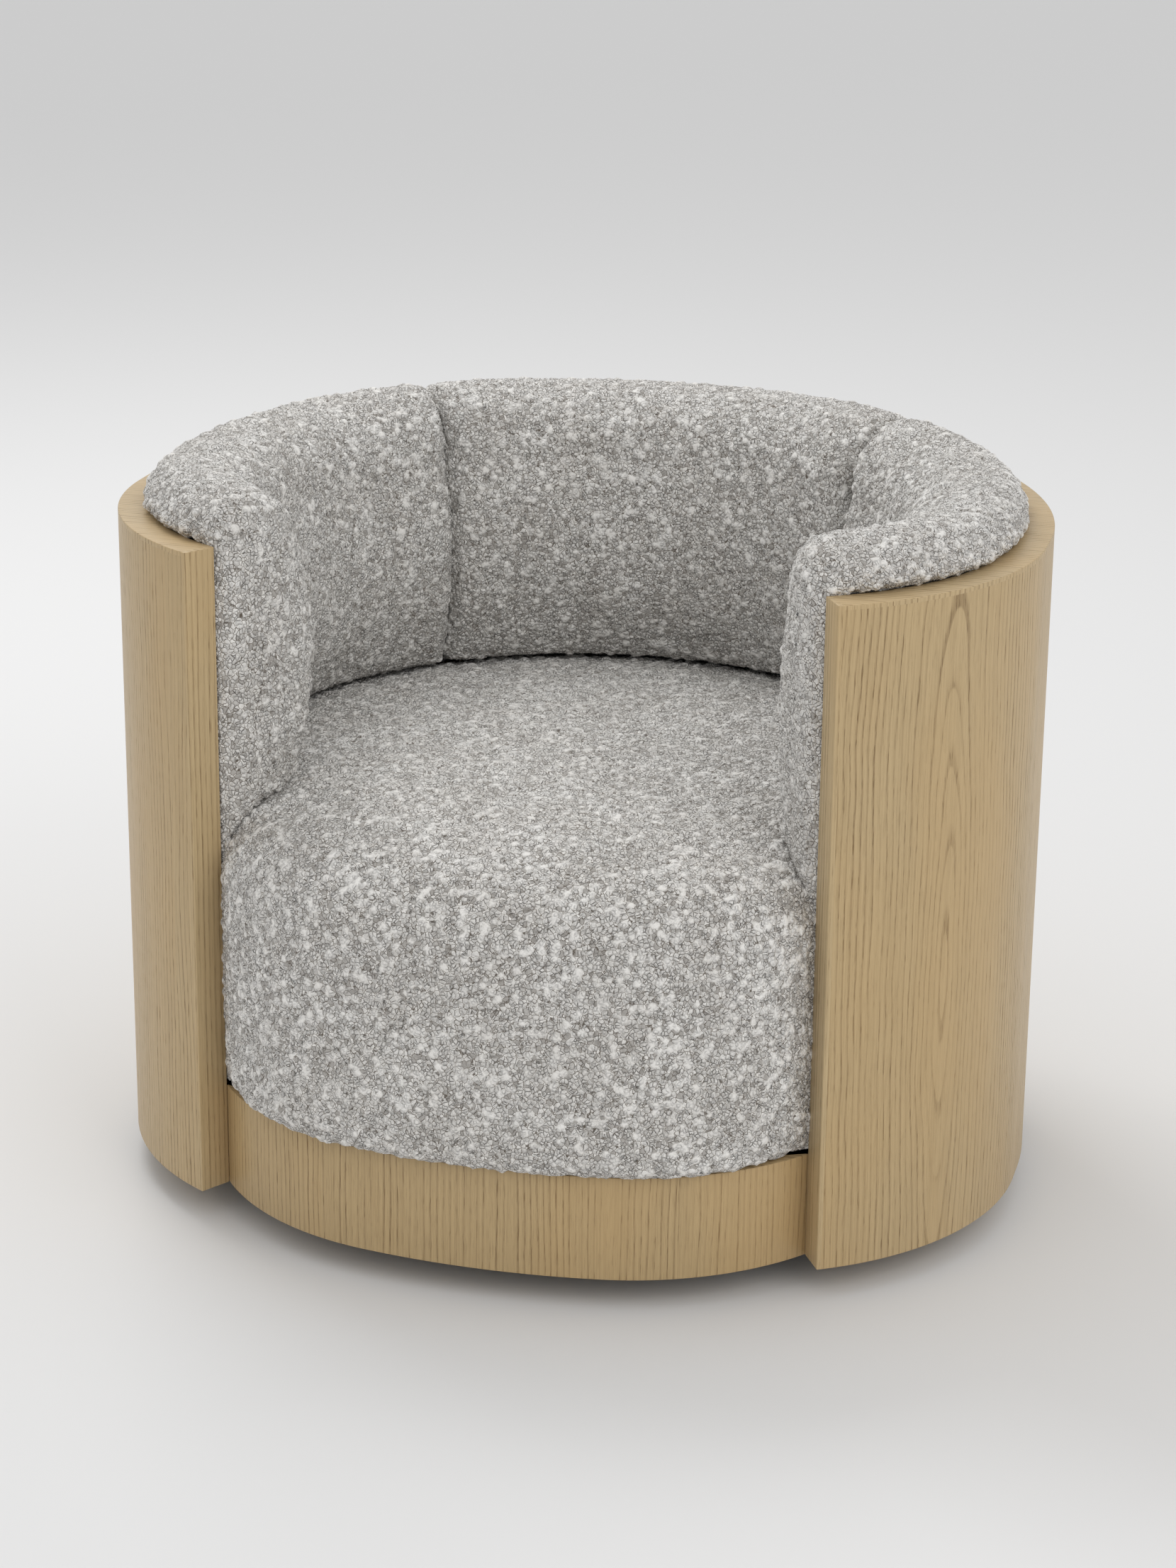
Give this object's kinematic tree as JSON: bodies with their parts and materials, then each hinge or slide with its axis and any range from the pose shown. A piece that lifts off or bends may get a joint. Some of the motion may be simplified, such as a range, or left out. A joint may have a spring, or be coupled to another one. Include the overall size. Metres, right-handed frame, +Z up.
{
  "type": "tub chair",
  "caption": "Barrel-shaped swivel tub chair: a bent oak-veneered shell with a level rim, a deep upholstered seat, padded inner backs and a recessed turning base.",
  "frame": {"origin": "on the floor at the middle of the chair's length and width, which is also the swivel axis", "axes": "+Z up, the sitter faces -Y, +X to the left hand of someone sitting in it. Left and right in the node names are as seen from the front, so left is -X"},
  "size_m": [0.8, 0.7399, 0.6392],
  "materials": {
    "oak_veneer": "pale straight-grained oak veneer with a satin lacquer",
    "oak_lipping": "solid pale oak lipping, satin lacquer",
    "birch_ply": "bare birch plywood",
    "boucle": "nubby white and grey boucle over a dark taupe ground",
    "foam": "cut polyurethane foam",
    "webbing": "woven elastic webbing",
    "dust_cloth": "black non-woven dust cover",
    "black_steel": "fine matt black powder coat",
    "zinc_steel": "bright zinc plate",
    "race_steel": "ground bearing steel, lightly oiled",
    "bush_brass": "plain turned brass",
    "black_nylon": "matt black moulded nylon",
    "white_nylon": "natural white moulded nylon"
  },
  "bodies": {
    "floor_base": {"floor_disc": "black_steel", "floor_glides": "black_nylon", "lower_race": "race_steel", "lower_race_screws": "zinc_steel", "bearing_balls": "race_steel", "ball_cage": "white_nylon", "king_pin": "race_steel", "thrust_washer": "race_steel", "lock_nut": "zinc_steel"},
    "chair_body": {"outer_shell": "oak_veneer", "rim_lipping": "oak_lipping", "left_end_lipping": "oak_lipping", "right_end_lipping": "oak_lipping", "front_plinth": "oak_veneer", "base_board": "birch_ply", "dust_cover": "dust_cloth", "shell_brackets": "zinc_steel", "bracket_screws": "zinc_steel", "seat_front_rail": "birch_ply", "seat_left_rail": "birch_ply", "seat_right_rail": "birch_ply", "seat_back_rail": "birch_ply", "corner_blocks": "birch_ply", "seat_webbing": "webbing", "seat_foam": "foam", "seat_cushion": "boucle", "back_pad": "boucle", "left_side_pad": "boucle", "right_side_pad": "boucle", "back_pad_board": "birch_ply", "left_pad_board": "birch_ply", "right_pad_board": "birch_ply", "pad_clips": "white_nylon", "upper_race": "race_steel", "upper_race_screws": "zinc_steel", "swivel_plate": "black_steel", "hub_bush": "bush_brass", "plate_bolts": "zinc_steel", "tee_nuts": "zinc_steel"}
  },
  "joints": [
    {"name": "chair_swivel", "type": "hinge", "parent": "floor_base", "child": "chair_body", "pos_m": [0, 0, 0.02], "axis": [0, 0, 1], "continuous": true}
  ]
}
